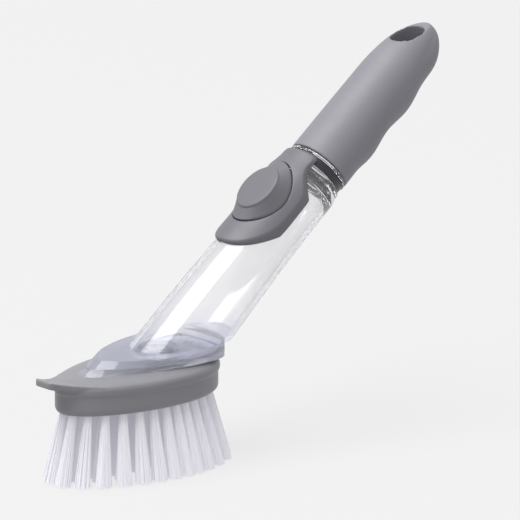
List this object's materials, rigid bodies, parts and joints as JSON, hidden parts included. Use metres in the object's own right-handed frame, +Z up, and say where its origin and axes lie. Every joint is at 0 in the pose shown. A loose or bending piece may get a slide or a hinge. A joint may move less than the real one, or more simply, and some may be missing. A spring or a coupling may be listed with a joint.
{
  "type": "dish wand",
  "caption": "Soap-dispensing dish brush: leaning clear chamber with a push button, screw-on grip with a hang slot, and a slide-off bristle head.",
  "frame": {"origin": "middle of the wand's box at the bristle tips, on the plane that the tips stand on", "axes": "+Z up from the bristle tips, +X from the head's toe towards the grip, +Y across the head, which is the direction of mirror symmetry"},
  "size_m": [0.2434, 0.0602, 0.1823],
  "materials": {
    "head_plastic": "satin",
    "bristle": "satin",
    "clear_plastic": "gloss",
    "seal_rubber": "matte",
    "silicone": "matte",
    "white_plastic": "satin",
    "grey_plastic": "matte",
    "spring_steel": "satin",
    "soft_grip": "matte"
  },
  "bodies": {
    "wand": {"chamber": "clear_plastic", "foot_plate": "clear_plastic", "soap_valve": "silicone", "valve_retainer": "white_plastic", "neck_seal": "seal_rubber", "button_bezel": "grey_plastic", "pump_diaphragm": "seal_rubber", "diaphragm_ring": "white_plastic", "button_spring": "spring_steel"},
    "button": {"button_cap": "soft_grip", "button_carrier": "white_plastic"},
    "washer": {"grip_seal": "seal_rubber"},
    "grip": {"grip_cover": "soft_grip", "grip_core": "grey_plastic"},
    "head": {"head_base": "head_plastic", "outer_tufts": "bristle", "inner_tufts": "bristle", "centre_tufts": "bristle"}
  },
  "joints": [
    {"name": "button_press", "type": "slide", "parent": "wand", "child": "button", "axis": [0.6293, 0, -0.7771], "range_m": [0, 0.0035], "stiffness_N_per_m": 1200, "springref_m": -0.002, "deforming": ["button_spring", "pump_diaphragm"]},
    {"name": "grip_turn", "type": "hinge", "parent": "wand", "child": "washer", "pos_m": [-0.04338, 0, 0.0496], "axis": [0.7771, 0, 0.6293], "range_deg": [0, 1260]},
    {"name": "grip_backoff", "type": "slide", "parent": "washer", "child": "grip", "axis": [0.7771, 0, 0.6293], "range_m": [0, 0.014]},
    {"name": "head_slide", "type": "slide", "parent": "wand", "child": "head", "axis": [-1, 0, 0], "range_m": [0, 0.07]}
  ],
  "couplings": [
    {"joint": "grip_backoff", "follows": "grip_turn", "m_per_rad": 0.00063662}
  ]
}
